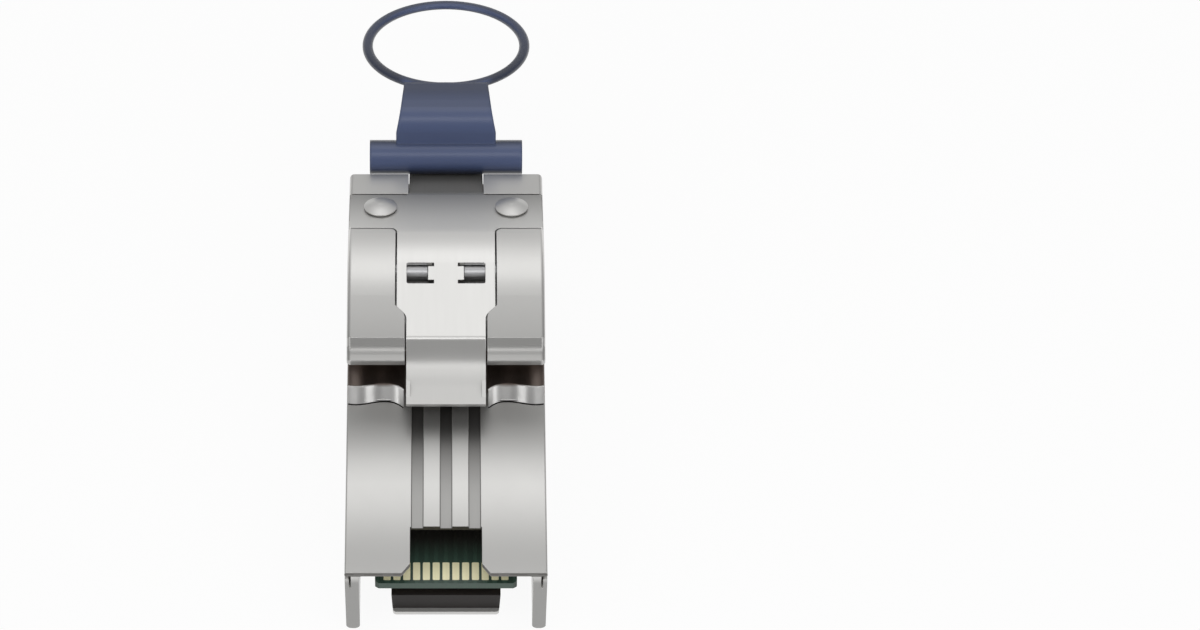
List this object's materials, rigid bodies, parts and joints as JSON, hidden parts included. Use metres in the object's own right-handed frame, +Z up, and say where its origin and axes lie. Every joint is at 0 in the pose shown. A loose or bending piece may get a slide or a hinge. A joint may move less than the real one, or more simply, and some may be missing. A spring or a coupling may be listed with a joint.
{
  "type": "external mini sas cable",
  "caption": "Cable plug end with a die-cast housing, card-edge contacts in an open nose, a rocking latch plate and a swinging pull ring.",
  "frame": {"origin": "on the surface it rests on, under the middle of the whole length", "axes": "+Y from the plug's nose towards the cable inlet and the pull ring, +Z up, +X to the right seen from the nose side looking along +Y"},
  "size_m": [0.0164, 0.0596, 0.0144],
  "materials": {
    "cast_zinc": "nickel-plated die casting, satin",
    "nose_zinc": "nickel-plated die casting, satin",
    "latch_steel": "stamped stainless sheet, smooth",
    "spring_steel": "bright spring strip",
    "pin_steel": "turned steel",
    "tab_blue": "moulded slate blue, semi-gloss",
    "card_green": "green solder mask",
    "contact_gold": "pale gold plating",
    "insert_black": "dark brown black moulding"
  },
  "bodies": {
    "housing": {"upper_shell": "cast_zinc", "lower_shell": "cast_zinc", "nose_shroud": "nose_zinc", "gasket_spring_left": "spring_steel", "gasket_spring_right": "spring_steel", "pivot_pin": "pin_steel", "pivot_sleeves": "pin_steel", "paddle_card": "card_green", "top_contacts": "contact_gold", "bottom_contacts": "contact_gold", "top_solder_pads": "contact_gold", "bottom_solder_pads": "contact_gold", "card_insert": "insert_black", "floor_plate": "latch_steel", "cable_ferrule": "pin_steel", "shell_screws": "pin_steel"},
    "latch": {"latch_plate": "latch_steel", "latch_rivets": "latch_steel", "return_leaf": "spring_steel"},
    "pull_tab": {"pull_tab": "tab_blue", "tab_pin": "pin_steel"}
  },
  "joints": [
    {"name": "latch_rock", "type": "hinge", "parent": "housing", "child": "latch", "pos_m": [0, -0.00262, 0.01265], "axis": [1, 0, 0], "range_deg": [0, 5], "stiffness_Nm_per_rad": 0.3, "springref_deg": -5.73, "deforming": ["return_leaf"]},
    {"name": "tab_swing", "type": "hinge", "parent": "latch", "child": "pull_tab", "pos_m": [0, 0.0107, 0.0108], "axis": [1, 0, 0], "range_deg": [0, 70]}
  ]
}
